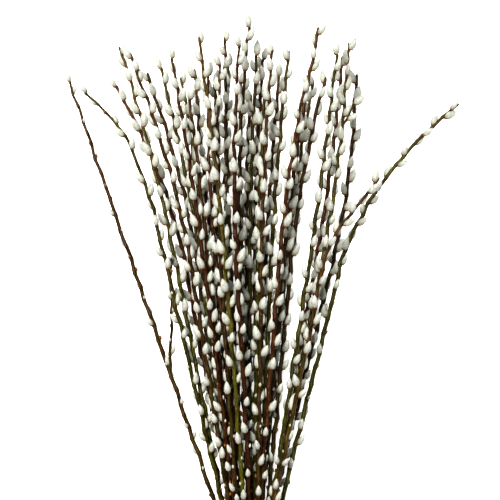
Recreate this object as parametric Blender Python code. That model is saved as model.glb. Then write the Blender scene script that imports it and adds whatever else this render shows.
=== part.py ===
"""A tied bunch of cut pussy willow, lying on a table.

Thirty-seven branches run through one tie, packed side by side there, and fan out from it to their tips.
Each branch is one solid: a tapering stem with its side shoots and catkins fused to it. The tie is a ring.

The frame is +Y from the tie towards the tips, +Z up and X across the bunch. The origin lies on the table,
under the middle of the tie.
"""

import math
import random
from typing import NamedTuple

import bmesh
import bpy
import numpy as np
from mathutils import Matrix, Vector

MM = 0.001

# The tie and the stems in it
STEM_RADIUS = 2.65 * MM
THINNEST_STEM = 0.93
STEM_PITCH = 5.65 * MM
ROW_COUNTS = (4, 5, 6, 7, 6, 5, 4)
ROW_RISE = STEM_PITCH * math.sqrt(3) / 2
TIE_WIDTH = 20 * MM
TIE_THICKNESS = 2.4 * MM
TIE_GAP = 0.35 * MM
CORNER_STEPS = 4
CORNER_TURN = 60
LOWEST_STEM_HEIGHT = TIE_THICKNESS + TIE_GAP + STEM_RADIUS
BUNDLE_HEIGHT = LOWEST_STEM_HEIGHT + ROW_RISE * (len(ROW_COUNTS) - 1) / 2

# The cut ends below the tie
STRAIGHT_REACH = 12 * MM
CUT_END = -62 * MM
CUT_END_SPREAD = 9 * MM
CUT_FLARE = 1.13

# The stems above the tie
FIRST_STEP = 40 * MM
STEP_GROWTH = 2.2 * MM
LEVEL_COUNT = 12
MIDDLE = 400 * MM
BEND_POWER = 1.7
LATE_BENDS = {1: 3.4}  # a branch whose bend comes nearer to its tip
TIP_SHARES = (0.45, 0.7)
TAPER_POWER = 4.5
STEM_SIDES = 6
BEAD_SPACING = 3 * MM
SHOOT_THICKNESS = (0.75, 0.65, 0.5)
SHOOT_BOW = 4 * MM

# Room between neighbours, which opens with the distance from the tie, and the height of the lowest stems
ROOM_IN_TIE = 0.5 * MM
ROOM_IN_FAN = 5.2 * MM
ROOM_OPENS_BY = 190 * MM
LYING_HEIGHT = 9 * MM
TESTED_PARTS = (0, 0.25, 0.5, 0.75)
JUST_PAST_TIP = 1.05
SETTLING_ROUNDS = 400
SETTLING_STEP = 0.35
PULL_TO_PLACE = 0.02
STIFFNESS = 0.12

# The catkins, with leans and turns in degrees
CATKIN_LENGTH = 18.5 * MM
CATKIN_RADIUS = 4.6 * MM
CATKIN_SPACING = 16.5 * MM
CATKIN_SPREAD = (0.75, 1.3)
CATKIN_GROWTH = (0.82, 1.12)
CATKIN_LEAN = (16, 30)
CATKIN_LEAN_AT_TIP = (5, 16)
CATKIN_TURN = 137.5
CATKIN_ROOT = 0.9
CATKIN_CLEARANCE = 0.7 * MM
FLATTENED_BY_TABLE = 0.7 * MM
CATKIN_TRIES = (0, 35, -35, 75, -75, 120, -120, 160)
CATKIN_SIZES = (1.0, 0.84, 0.7)
BARE_TIP = (1 * MM, 13 * MM)
NEARLY_AT_TIP = 4 * MM
LOWEST_CATKIN = 85 * MM
FULL_CATKINS_FROM = 340 * MM
LOW_BUDS_CLOSED = 0.72
LOW_CATKIN_SIZE = 0.78
SEED = 7

# Branches that bear fewer, smaller catkins: the share of their buds that stay closed, and the catkins' size
SPARSE_BRANCHES = {0: (0.5, 0.72), 1: (0.25, 0.9), 36: (0.05, 0.95)}
FULL_BRANCH = (0, 1)

# The catkins that a low stem rests on: one in every five, straight under the stem
RESTS_BELOW = LYING_HEIGHT + 0.4 * MM
RESTS_EVERY = 5
RESTING_LEAN = 17
UNDERNEATH = 180

# A catkin's outline: the share of its length from the base, and of its widest radius
CATKIN_OUTLINE = ((0.16, 0.72), (0.36, 1.0), (0.58, 0.9), (0.8, 0.54), (0.97, 0.12))

# The plain catkins of the solids: where each ring of a ball goes along the catkin, and how wide it is
CATKINS_PER_SOLID = 9
CATKIN_SIDES = 4
CATKIN_RINGS = {-1: (0, 0), -0.5: (0.3, 0.98), 0.5: (0.66, 0.8), 1: (1, 0)}

# Each branch: its tip across, along and above the table, and its place across at MIDDLE, in millimetres
BRANCHES = (
    (-218, 608, 52, -147),
    (-190, 592, 84, -104),
    (-163, 604, 9, -82),
    (-156, 648, 60, -92),
    (-142, 636, 100, -73),
    (-125, 618, 30, -66),
    (-107, 622, 70, -61),
    (-92, 630, 118, -56),
    (-83, 612, 38, -53),
    (-68, 624, 9, -46),
    (-72, 588, 97, -50),
    (-60, 652, 140, -31),
    (-50, 621, 90, -42),
    (-42, 604, 58, -38),
    (-35, 626, 122, -34),
    (-30, 658, 64, -24),
    (-26, 628, 28, -28),
    (-13, 645, 150, -17),
    (-12, 610, 40, -10),
    (-1, 671, 104, -13),
    (0, 592, 26, -4),
    (8, 636, 74, 0),
    (16, 633, 44, 6),
    (18, 598, 88, 10),
    (26, 638, 128, 14),
    (36, 622, 9, 20),
    (46, 640, 92, 26),
    (64, 594, 108, 36),
    (77, 610, 24, 46),
    (82, 669, 80, 41),
    (90, 611, 56, 51),
    (103, 636, 96, 73),
    (112, 638, 34, 82),
    (119, 652, 66, 89),
    (130, 618, 9, 104),
    (150, 489, 112, 91),
    (248, 579, 58, 114),
)

# Side shoots: the branch, how far along it the shoot leaves, and the shoot's tip from there, in millimetres
SHOOTS = (
    (33, 552, (16, 30, 10)),
    (10, 540, (-14, 26, 12)),
    (0, 254, (2, 140, 34)),
)

# Bark, from the red-brown branches to the olive ones
BARKS = {
    "bark_red_brown": (0.13, 0.045, 0.022),
    "bark_brown": (0.11, 0.06, 0.025),
    "bark_olive": (0.13, 0.12, 0.03),
}
BARK_TURNS = ("bark_brown", "bark_olive", "bark_red_brown", "bark_olive", "bark_brown")
CATKIN_COLOUR = (0.72, 0.73, 0.66)
TIE_COLOUR = (0.5, 0.36, 0.19)
BARK_ROUGHNESS = 0.55
CATKIN_ROUGHNESS = 0.85
TIE_ROUGHNESS = 0.9

MERGE_DISTANCE = 0.001 * MM
SHARP_ANGLE = math.radians(40)


def clear_scene():
    for thing in list(bpy.data.objects):
        bpy.data.objects.remove(thing)


def make_material(name, colour, roughness):
    material = bpy.data.materials.new(name)
    material.use_nodes = True
    shader = material.node_tree.nodes["Principled BSDF"]
    shader.inputs["Base Color"].default_value = (*colour, 1)
    shader.inputs["Roughness"].default_value = roughness
    shader.inputs["Metallic"].default_value = 0
    return material


# The courses of the stems

def levels():
    """Distances from the tie at which each stem's course is worked out, closer together near the tie."""
    steps = np.arange(LEVEL_COUNT)
    return STRAIGHT_REACH + FIRST_STEP * steps + STEP_GROWTH * steps**2


def slots():
    """Each branch's place in the tie, across and above the table, with low tips low and left tips left."""
    by_height = sorted(range(len(BRANCHES)), key=lambda n: BRANCHES[n][2])
    places = np.zeros((len(BRANCHES), 2))
    for row, count in enumerate(ROW_COUNTS):
        members, by_height = by_height[:count], by_height[count:]
        members.sort(key=lambda n: BRANCHES[n][3])
        for column, branch in enumerate(members):
            across = (column - (count - 1) / 2) * STEM_PITCH
            places[branch] = across, LOWEST_STEM_HEIGHT + row * ROW_RISE
    return places


def aims(places, along):
    """Where each stem would run alone: straight to its place at MIDDLE, then bending to its tip."""
    courses = np.zeros((len(BRANCHES), len(along), 2))
    for n, (tip_across, tip_along, tip_height, middle_across) in enumerate(BRANCHES):
        across, height = places[n]
        slope = (middle_across * MM - across) / (MIDDLE - STRAIGHT_REACH)
        straight = across + slope * (along - STRAIGHT_REACH)
        stray = tip_across * MM - across - slope * (tip_along * MM - STRAIGHT_REACH)
        bend = np.clip((along - MIDDLE) / (tip_along * MM - MIDDLE), 0, None) ** LATE_BENDS.get(n, BEND_POWER)
        courses[n, :, 0] = straight + stray * bend
        rise = (along - STRAIGHT_REACH) / (tip_along * MM - STRAIGHT_REACH)
        courses[n, :, 1] = height + (tip_height * MM - height) * rise
    return courses


def stem_radius(share, thickness, tip_share):
    """A stem's radius at a share of its whole length, from the cut end to the tip."""
    return STEM_RADIUS * thickness * (1 - (1 - tip_share) * np.clip(share, 0, 1) ** TAPER_POWER)


def settle(courses, along, thicknesses, tip_shares):
    """Moves the stems' courses apart until each has its room, and holds them up off the table."""
    targets = courses.copy()
    ends = np.array([branch[1] * MM for branch in BRANCHES])
    opened = np.clip(along / ROOM_OPENS_BY, 0, 1)
    floor = LOWEST_STEM_HEIGHT + (LYING_HEIGHT - LOWEST_STEM_HEIGHT) * opened
    for _ in range(SETTLING_ROUNDS):
        push = np.zeros_like(courses)
        for part in TESTED_PARTS:
            here = courses[:, :-1] * (1 - part) + courses[:, 1:] * part
            place = along[:-1] * (1 - part) + along[1:] * part
            share = (place[None] - CUT_END) / (ends[:, None] - CUT_END)
            radii = stem_radius(share, thicknesses[:, None], tip_shares[:, None])
            room = ROOM_IN_TIE + (ROOM_IN_FAN - ROOM_IN_TIE) * np.clip(place / ROOM_OPENS_BY, 0, 1)
            away = here[:, None] - here[None]
            distance = np.maximum(np.hypot(away[..., 0], away[..., 1]), MERGE_DISTANCE)
            lack = np.clip(radii[:, None] + radii[None] + room - distance, 0, None)
            both = (share < JUST_PAST_TIP)[:, None] & (share < JUST_PAST_TIP)[None]
            lack = np.where(both, lack, 0)
            lack[np.arange(len(ends)), np.arange(len(ends))] = 0
            move = (away * (lack / distance)[..., None]).sum(axis=1) / 2
            push[:, :-1] += move * (1 - part)
            push[:, 1:] += move * part
        courses = courses + SETTLING_STEP * push
        strays = courses - targets
        strays[:, 1:-1] += STIFFNESS * (strays[:, :-2] - 2 * strays[:, 1:-1] + strays[:, 2:])
        strays[:, -1] += STIFFNESS * (strays[:, -2] - strays[:, -1])
        courses = targets + strays * (1 - PULL_TO_PLACE)
        courses[:, 0] = targets[:, 0]
        courses[..., 1] = np.maximum(courses[..., 1], floor)
    return courses


class Stem:
    """A stem's course as points along its middle, with a radius at each."""

    def __init__(self, points, radii):
        self.points = np.array(points)
        self.radii = np.array(radii)
        steps = np.linalg.norm(np.diff(self.points, axis=0), axis=1)
        self.lengths = np.concatenate([[0], np.cumsum(steps)])

    def at(self, length):
        """The middle, the direction and the radius at a length from the stem's start."""
        here = int(np.clip(np.searchsorted(self.lengths, length) - 1, 0, len(self.lengths) - 2))
        part = (length - self.lengths[here]) / (self.lengths[here + 1] - self.lengths[here])
        step = self.points[here + 1] - self.points[here]
        radius = self.radii[here] * (1 - part) + self.radii[here + 1] * part
        return Vector(self.points[here] + step * part), Vector(step).normalized(), float(radius)

    def beads(self):
        """Points close together along the stem, each with its radius, for measuring distances."""
        count = int(self.lengths[-1] / BEAD_SPACING) + 2
        found = [self.at(length) for length in np.linspace(0, self.lengths[-1], count)]
        return np.array([[*middle, radius] for middle, _, radius in found])


def main_stems():
    """The courses of all the branches, from the cut end through the tie to the tip."""
    draw = random.Random(SEED)
    thicknesses = np.array([draw.uniform(THINNEST_STEM, 1) for _ in BRANCHES])
    tip_shares = np.array([draw.uniform(*TIP_SHARES) for _ in BRANCHES])
    cuts = [CUT_END + draw.uniform(-1, 1) * CUT_END_SPREAD for _ in BRANCHES]
    along = levels()
    places = slots()
    courses = settle(aims(places, along), along, thicknesses, tip_shares)
    stems = []
    for n, (_, tip_along, _, _) in enumerate(BRANCHES):
        tip = tip_along * MM
        flare = 1 + (CUT_FLARE - 1) * cuts[n] / CUT_END
        across, height = places[n]
        points = [(across * flare, cuts[n], BUNDLE_HEIGHT + (height - BUNDLE_HEIGHT) * flare)]
        points += [(across, y, height) for y in (-STRAIGHT_REACH, STRAIGHT_REACH)]
        points += [(x, y, z) for (x, z), y in zip(courses[n, 1:], along[1:]) if y < tip - FIRST_STEP / 2]
        tip_across, tip_height = (np.interp(tip, along, courses[n, :, axis]) for axis in (0, 1))
        points.append((tip_across, tip, tip_height))
        shares = (np.array([point[1] for point in points]) - CUT_END) / (tip - CUT_END)
        stems.append(Stem(points, stem_radius(shares, thicknesses[n], tip_shares[n])))
    return stems


def shoots_of(stems):
    """The side shoots, as (branch, stem), each starting in the middle of the stem that it grows from."""
    found = []
    for branch, along, tip in SHOOTS:
        parent = stems[branch]
        length = np.interp(along * MM, parent.points[:, 1], parent.lengths)
        start, direction, radius = parent.at(length)
        end = start + Vector(tip) * MM
        elbow = (start + end) / 2 - direction * SHOOT_BOW
        found.append((branch, Stem([start, elbow, end], [radius * share for share in SHOOT_THICKNESS])))
    return found


# The places of the catkins

def side_of(direction, turn):
    """The direction square to a stem's own, turned round it from the one that points up."""
    up = Vector((0, 0, 1))
    outward = (up - direction * up.dot(direction)).normalized()
    return Matrix.Rotation(math.radians(turn), 3, direction) @ outward


class Site(NamedTuple):
    """One catkin's place: its stem, how far along it, the turn round the stem, the lean and the size."""

    stem: Stem
    length: float
    turn: float
    lean: float
    size: float
    rests: bool

    def root(self):
        """Where the catkin is rooted in the stem, its axis, and the direction away from the stem."""
        middle, direction, radius = self.stem.at(self.length)
        side = side_of(direction, self.turn)
        axis = direction * math.cos(math.radians(self.lean)) + side * math.sin(math.radians(self.lean))
        return middle + side * radius * CATKIN_ROOT, axis, side

    def beads(self):
        """Balls that fill the catkin's outline, for measuring distances."""
        base, axis, _ = self.root()
        length, radius = CATKIN_LENGTH * self.size, CATKIN_RADIUS * self.size
        return np.array([[*(base + axis * length * part), radius * width] for part, width in CATKIN_OUTLINE])


def clearance(beads, others):
    """The smallest gap between two sets of balls."""
    if not len(others):
        return math.inf
    away = beads[:, None, :3] - others[None, :, :3]
    gaps = np.sqrt((away**2).sum(axis=2)) - beads[:, None, 3] - others[None, :, 3]
    return gaps.min()


def fits(beads, others, catkins):
    """Whether a catkin stands clear of the other stems and catkins, and of the table."""
    lowest = (beads[:, 2] - beads[:, 3]).min()
    if lowest < -FLATTENED_BY_TABLE:
        return False
    return min(clearance(beads, others), clearance(beads, catkins)) > CATKIN_CLEARANCE


def choices_at(branch, stem, length, turn, number, draw):
    """The sites to try for one catkin, best first: none where the bud stays closed."""
    middle = stem.at(length)[0]
    closed_share, full_size = SPARSE_BRANCHES.get(branch, FULL_BRANCH)
    fullness = np.interp(middle.y, [LOWEST_CATKIN, FULL_CATKINS_FROM], [0, 1])
    closed = draw.random() < closed_share + (LOW_BUDS_CLOSED - closed_share) * (1 - fullness) and number > 0
    low_size = LOW_CATKIN_SIZE + (1 - LOW_CATKIN_SIZE) * fullness
    grown = draw.uniform(*CATKIN_GROWTH) * full_size * low_size
    at_tip = length > stem.lengths[-1] - NEARLY_AT_TIP
    lean = draw.uniform(*(CATKIN_LEAN_AT_TIP if at_tip else CATKIN_LEAN))
    choices = []
    if middle.z < RESTS_BELOW and middle.y > FULL_CATKINS_FROM and number % RESTS_EVERY == 0:
        choices.append(Site(stem, length, UNDERNEATH, RESTING_LEAN, 1, True))
    if not closed:
        choices += [Site(stem, length, turn + more, lean, grown * size, False)
                    for size in CATKIN_SIZES for more in CATKIN_TRIES]
    return choices


def catkin_sites(stems, shoots):
    """For each branch, the sites of its catkins, from the tip of the stem down and then on its shoots."""
    draw = random.Random(SEED + 1)
    everything = [(n, stem) for n, stem in enumerate(stems)] + shoots
    beads = [stem.beads() for _, stem in everything]
    placed = [[] for _ in stems]
    catkins = np.zeros((0, 4))
    for branch, stem in everything:
        others = np.concatenate([found for (n, _), found in zip(everything, beads) if n != branch])
        length = stem.lengths[-1] - draw.uniform(*BARE_TIP)
        turn = draw.uniform(0, 360)
        number = 0
        while length > CATKIN_RADIUS and stem.at(length)[0].y > LOWEST_CATKIN:
            for site in choices_at(branch, stem, length, turn, number, draw):
                if fits(site.beads(), others, catkins):
                    placed[branch].append(site)
                    catkins = np.concatenate([catkins, site.beads()])
                    break
            number += 1
            turn += CATKIN_TURN
            length -= CATKIN_SPACING * draw.uniform(*CATKIN_SPREAD)
    return placed


# The solids

def make_object(name, mesh, materials):
    thing = bpy.data.objects.new(name, mesh)
    bpy.context.scene.collection.objects.link(thing)
    for material in materials:
        mesh.materials.append(material)
    return thing


def evaluated_mesh(thing):
    bpy.context.view_layer.update()
    graph = bpy.context.evaluated_depsgraph_get()
    return bpy.data.meshes.new_from_object(thing.evaluated_get(graph))


def tube_mesh(stem):
    """A tapering tube along a stem's course, closed at both ends."""
    curve = bpy.data.curves.new("course", "CURVE")
    curve.dimensions = "3D"
    curve.twist_mode = "Z_UP"
    curve.bevel_depth = STEM_RADIUS
    curve.bevel_resolution = STEM_SIDES // 2 - 2
    curve.use_fill_caps = True
    spline = curve.splines.new("POLY")
    spline.points.add(len(stem.points) - 1)
    for point, place, radius in zip(spline.points, stem.points, stem.radii):
        point.co = (*place, 1)
        point.radius = radius / STEM_RADIUS
    guide = bpy.data.objects.new("course", curve)
    bpy.context.scene.collection.objects.link(guide)
    mesh = evaluated_mesh(guide)
    bpy.data.objects.remove(guide)
    bm = bmesh.new()
    bm.from_mesh(mesh)
    bmesh.ops.remove_doubles(bm, verts=bm.verts, dist=MERGE_DISTANCE)
    bmesh.ops.recalc_face_normals(bm, faces=bm.faces)
    bm.to_mesh(mesh)
    bm.free()
    return mesh


def catkin_mesh():
    """One catkin of the full size, standing on the origin along +Z, widest low down and pointed on top."""
    bm = bmesh.new()
    bmesh.ops.create_uvsphere(bm, u_segments=CATKIN_SIDES, v_segments=3, radius=1)
    for vert in bm.verts:
        height, width = CATKIN_RINGS[round(vert.co.z, 1)]
        around = vert.co.xy.normalized() * width * CATKIN_RADIUS
        vert.co = (*around, height * CATKIN_LENGTH)
    mesh = bpy.data.meshes.new("catkin")
    bm.to_mesh(mesh)
    bm.free()
    return mesh


def place_catkin(shape, site, materials):
    """A catkin of its own at its site, rooted in the stem, and flat where the table presses it."""
    base, axis, side = site.root()
    third = axis.cross(side).normalized()
    upright = Matrix((third.cross(axis), third, axis)).transposed().to_4x4()
    mesh = shape.copy()
    mesh.transform(Matrix.Translation(base) @ upright @ Matrix.Scale(site.size, 4))
    for vert in mesh.vertices:
        vert.co.z = max(vert.co.z, 0)
    for polygon in mesh.polygons:
        polygon.material_index = 1
    return make_object("catkin", mesh, materials)


def main_catkins(sites):
    """The catkins of the solid: the ones that it rests on, and others evenly from the tip down."""
    resting = [site for site in sites if site.rests]
    others = [site for site in sites if not site.rests]
    count = CATKINS_PER_SOLID - len(resting)
    return resting + [others[round(n)] for n in np.linspace(0, len(others) - 1, count)]


def make_branch(name, stem, shoots, sites, shape, materials):
    """One branch: its stem, side shoots and catkins joined in one solid."""
    branch = make_object(name, tube_mesh(stem), materials)
    grown = bpy.data.collections.new(name + "_grown")
    bpy.context.scene.collection.children.link(grown)
    for site in sites:
        catkin = place_catkin(shape, site, materials)
        grown.objects.link(catkin)
    for shoot in shoots:
        grown.objects.link(make_object("shoot", tube_mesh(shoot), materials))
    union = branch.modifiers.new("union", "BOOLEAN")
    union.operation = "UNION"
    union.operand_type = "COLLECTION"
    union.collection = grown
    union.solver = "MANIFOLD"
    joined = evaluated_mesh(branch)
    branch.modifiers.remove(union)
    branch.data = joined
    for thing in list(grown.objects):
        bpy.data.objects.remove(thing)
    bpy.data.collections.remove(grown)
    joined.set_sharp_from_angle(angle=SHARP_ANGLE)
    return branch


def tie_outline(outward):
    """Points round the bundle in the tie, at a distance from the middles of its six corner stems."""
    half_short = (ROW_COUNTS[0] - 1) / 2 * STEM_PITCH
    half_long = (max(ROW_COUNTS) - 1) / 2 * STEM_PITCH
    rise = BUNDLE_HEIGHT - LOWEST_STEM_HEIGHT
    corners = ((half_long, 0), (half_short, rise), (-half_short, rise))
    corners += tuple((-across, -height) for across, height in corners)
    points = []
    for number, (across, height) in enumerate(corners):
        for step in range(CORNER_STEPS + 1):
            angle = math.radians(CORNER_TURN * (number - 0.5 + step / CORNER_STEPS))
            x = across + outward * math.cos(angle)
            points.append(Vector((x, 0, BUNDLE_HEIGHT + height + outward * math.sin(angle))))
    return points


def make_tie(material):
    """The tie as a plain ring that follows the bundle, flat underneath."""
    bm = bmesh.new()
    edges = []
    for outward in (STEM_RADIUS + TIE_GAP, STEM_RADIUS + TIE_GAP + TIE_THICKNESS):
        loop = [bm.verts.new(point - Vector((0, TIE_WIDTH / 2, 0))) for point in tie_outline(outward)]
        edges += [bm.edges.new(pair) for pair in zip(loop, loop[1:] + loop[:1])]
    ring = bmesh.ops.bridge_loops(bm, edges=edges)["faces"]
    grown = bmesh.ops.extrude_face_region(bm, geom=ring)["geom"]
    far = [item for item in grown if isinstance(item, bmesh.types.BMVert)]
    bmesh.ops.translate(bm, verts=far, vec=(0, TIE_WIDTH, 0))
    bmesh.ops.recalc_face_normals(bm, faces=bm.faces)
    mesh = bpy.data.meshes.new("tie")
    bm.to_mesh(mesh)
    bm.free()
    mesh.set_sharp_from_angle(angle=SHARP_ANGLE)
    return make_object("tie", mesh, [material])


def main():
    clear_scene()
    barks = {name: make_material(name, colour, BARK_ROUGHNESS) for name, colour in BARKS.items()}
    down = make_material("catkin_down", CATKIN_COLOUR, CATKIN_ROUGHNESS)
    make_tie(make_material("tie_twine", TIE_COLOUR, TIE_ROUGHNESS))
    stems = main_stems()
    shoots = shoots_of(stems)
    sites = catkin_sites(stems, shoots)
    shape = catkin_mesh()
    for n, stem in enumerate(stems):
        own_shoots = [shoot for branch, shoot in shoots if branch == n]
        own_sites = main_catkins(sites[n])
        bark = barks[BARK_TURNS[n % len(BARK_TURNS)]]
        make_branch(f"branch_{n + 1:02d}", stem, own_shoots, own_sites, shape, [bark, down])


main()
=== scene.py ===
"""Looks for a tied bunch of cut pussy willow that lies on a table, seen from straight above.

The stems' courses and the catkins' places follow the same rules and values as the solids. Each branch
is dressed in two pieces: its bark, with the nodes, buds and bud scales, and its catkins with their silky
down. The tie is wound from two-ply twine.

The frame is +Y from the tie towards the tips, +Z up and X across the bunch.
"""

import math
import random
from typing import NamedTuple

import bmesh
import bpy
import numpy as np
from mathutils import Matrix, Vector


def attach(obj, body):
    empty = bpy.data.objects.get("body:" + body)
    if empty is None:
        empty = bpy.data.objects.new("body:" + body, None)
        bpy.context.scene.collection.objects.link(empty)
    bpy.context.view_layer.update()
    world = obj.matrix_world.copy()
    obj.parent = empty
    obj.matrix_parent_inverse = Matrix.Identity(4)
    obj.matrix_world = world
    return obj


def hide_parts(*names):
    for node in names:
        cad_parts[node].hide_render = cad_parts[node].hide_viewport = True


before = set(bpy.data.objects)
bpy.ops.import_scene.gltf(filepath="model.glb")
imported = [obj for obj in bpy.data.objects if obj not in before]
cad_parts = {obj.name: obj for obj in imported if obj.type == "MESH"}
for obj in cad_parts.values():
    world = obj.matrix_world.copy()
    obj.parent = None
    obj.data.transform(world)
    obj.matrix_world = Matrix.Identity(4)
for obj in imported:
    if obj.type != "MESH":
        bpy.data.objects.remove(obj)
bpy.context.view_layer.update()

MM = 0.001
MERGE_DISTANCE = 0.001 * MM

# The tie and the stems in it
STEM_RADIUS = 2.65 * MM
THINNEST_STEM = 0.93
STEM_PITCH = 5.65 * MM
ROW_COUNTS = (4, 5, 6, 7, 6, 5, 4)
ROW_RISE = STEM_PITCH * math.sqrt(3) / 2
TIE_WIDTH = 20 * MM
TIE_THICKNESS = 2.4 * MM
TIE_GAP = 0.35 * MM
CORNER_STEPS = 4
CORNER_TURN = 60
LOWEST_STEM_HEIGHT = TIE_THICKNESS + TIE_GAP + STEM_RADIUS
BUNDLE_HEIGHT = LOWEST_STEM_HEIGHT + ROW_RISE * (len(ROW_COUNTS) - 1) / 2

# The cut ends below the tie
STRAIGHT_REACH = 12 * MM
CUT_END = -62 * MM
CUT_END_SPREAD = 9 * MM
CUT_FLARE = 1.13

# The stems above the tie
FIRST_STEP = 40 * MM
STEP_GROWTH = 2.2 * MM
LEVEL_COUNT = 12
MIDDLE = 400 * MM
BEND_POWER = 1.7
LATE_BENDS = {1: 3.4}  # a branch whose bend comes nearer to its tip
TIP_SHARES = (0.45, 0.7)
TAPER_POWER = 4.5
BEAD_SPACING = 3 * MM
SHOOT_THICKNESS = (0.75, 0.65, 0.5)
SHOOT_BOW = 4 * MM

# Room between neighbours, which opens with the distance from the tie, and the height of the lowest stems
ROOM_IN_TIE = 0.5 * MM
ROOM_IN_FAN = 5.2 * MM
ROOM_OPENS_BY = 190 * MM
LYING_HEIGHT = 9 * MM
TESTED_PARTS = (0, 0.25, 0.5, 0.75)
JUST_PAST_TIP = 1.05
SETTLING_ROUNDS = 400
SETTLING_STEP = 0.35
PULL_TO_PLACE = 0.02
STIFFNESS = 0.12

# The catkins, with leans and turns in degrees
CATKIN_LENGTH = 18.5 * MM
CATKIN_RADIUS = 4.6 * MM
CATKIN_SPACING = 16.5 * MM
CATKIN_SPREAD = (0.75, 1.3)
CATKIN_GROWTH = (0.82, 1.12)
CATKIN_LEAN = (16, 30)
CATKIN_LEAN_AT_TIP = (5, 16)
CATKIN_TURN = 137.5
CATKIN_ROOT = 0.9
CATKIN_CLEARANCE = 0.7 * MM
FLATTENED_BY_TABLE = 0.7 * MM
CATKIN_TRIES = (0, 35, -35, 75, -75, 120, -120, 160)
CATKIN_SIZES = (1.0, 0.84, 0.7)
BARE_TIP = (1 * MM, 13 * MM)
NEARLY_AT_TIP = 4 * MM
LOWEST_CATKIN = 85 * MM
FULL_CATKINS_FROM = 340 * MM
LOW_BUDS_CLOSED = 0.72
LOW_CATKIN_SIZE = 0.78
SEED = 7

# Branches that bear fewer, smaller catkins: the share of their buds that stay closed, and the catkins' size
SPARSE_BRANCHES = {0: (0.5, 0.72), 1: (0.25, 0.9), 36: (0.05, 0.95)}
FULL_BRANCH = (0, 1)

# The catkins that a low stem rests on: one in every five, straight under the stem
RESTS_BELOW = LYING_HEIGHT + 0.4 * MM
RESTS_EVERY = 5
RESTING_LEAN = 17
UNDERNEATH = 180

# A catkin's outline: the share of its length from the base, and of its widest radius
CATKIN_OUTLINE = ((0.16, 0.72), (0.36, 1.0), (0.58, 0.9), (0.8, 0.54), (0.97, 0.12))

# Each branch: its tip across, along and above the table, and its place across at MIDDLE, in millimetres
BRANCHES = (
    (-218, 608, 52, -147),
    (-190, 592, 84, -104),
    (-163, 604, 9, -82),
    (-156, 648, 60, -92),
    (-142, 636, 100, -73),
    (-125, 618, 30, -66),
    (-107, 622, 70, -61),
    (-92, 630, 118, -56),
    (-83, 612, 38, -53),
    (-68, 624, 9, -46),
    (-72, 588, 97, -50),
    (-60, 652, 140, -31),
    (-50, 621, 90, -42),
    (-42, 604, 58, -38),
    (-35, 626, 122, -34),
    (-30, 658, 64, -24),
    (-26, 628, 28, -28),
    (-13, 645, 150, -17),
    (-12, 610, 40, -10),
    (-1, 671, 104, -13),
    (0, 592, 26, -4),
    (8, 636, 74, 0),
    (16, 633, 44, 6),
    (18, 598, 88, 10),
    (26, 638, 128, 14),
    (36, 622, 9, 20),
    (46, 640, 92, 26),
    (64, 594, 108, 36),
    (77, 610, 24, 46),
    (82, 669, 80, 41),
    (90, 611, 56, 51),
    (103, 636, 96, 73),
    (112, 638, 34, 82),
    (119, 652, 66, 89),
    (130, 618, 9, 104),
    (150, 489, 112, 91),
    (248, 579, 58, 114),
)

# Side shoots: the branch, how far along it the shoot leaves, and the shoot's tip from there, in millimetres
SHOOTS = (
    (33, 552, (16, 30, 10)),
    (10, 540, (-14, 26, 12)),
    (0, 254, (2, 140, 34)),
)

# The smooth stems: their fine steps, their waves as (reach, length), and the swelling at each node
SMOOTH_STEP = 7 * MM
TIP_STEPS = (3 * MM, 2 * MM, 1 * MM)
NODE_STEPS = (-2.6 * MM, -1 * MM, 0.6 * MM)
WAVES = ((0.5 * MM, 83 * MM), (0.3 * MM, 37 * MM))
WAVES_GROW_BY = 110 * MM
NODE_SWELLING = 0.18
KINK = 0.85 * MM
NODE_REACH = 1.7 * MM
TIP_REACH = 3.5 * MM
TIP_END = 0.35
BARK_SIDES = 12
CUT_SLANT = 0.35
BARK_THICKNESS = 0.35 * MM
PITH_RADIUS = 0.8 * MM
PITH_RIM = PITH_RADIUS / 4
CUT_DEPTH = 0.12 * MM
CAP_DEPTH = 0.2 * MM

# Closed buds, and the leaf scars and scales under the catkins
BUD_LENGTH = 6.5 * MM
BUD_RADIUS = 1.95 * MM
BUD_LEAN = 16
BUD_GROWTH = (0.75, 1.15)
OPENING_BUDS = 0.5
NUB_LENGTH = 5.5 * MM
NUB_RADIUS = 1.7 * MM
BUD_SIDES = 8
BUD_RINGS = 7
SCAR_RINGS = 5
SCAR_SIZE = (0.8 * MM, 1.6 * MM, 1.2 * MM)
SCAR_BELOW = 1.1 * MM
SCALE_HEIGHT = 0.13
SCALE_TONGUE = 0.08
SCALE_THICKNESS = 0.12 * MM
SCALE_RINGS = 6
SCALE_RIM = 0.72
SCALE_MOUTH = 0.72
SCALE_TINTS = (0.1, 0.35, 0.6, 0.85, 1.0)
WOOD_MATERIAL, PITH_MATERIAL, SCALE_MATERIAL = 1, 2, 3

# The catkins' down: the body's grid, its tufts and the fine hairs that stand out
WIDEST_POWER = 0.78
ROUNDNESS = 0.85
CATKIN_KINDS = 6
BODY_SIDES = 10
BODY_RINGS = 8
BODY_SHARE = 0.95
BODY_UNEVENNESS = 0.05
CATKIN_BEND = (0.2 * MM, 1.3 * MM)
CATKIN_PLUMPNESS = (0.93, 1.06)
GOLDEN_ANGLE = math.radians(137.508)
TUFTS_FROM = 0.03
TUFTS_REACH = 0.84
TUFTS_SHORTEN = 0.35
TUFT_SCATTER = 0.25
TUFT_DEPTH = 0.2 * MM
TUFT_SIDES = 3
CATKIN_SPIN = 0.5
SLOPE_STEP = 0.01
TABLE_SOFTNESS = 1.0 * MM

# Where on the down's run of colours, from 0 at the base to 1 at the tip, bodies end and opening buds lie
BODY_SHADE = 0.85
NUB_SHADES = (0.1, 0.6)

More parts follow.
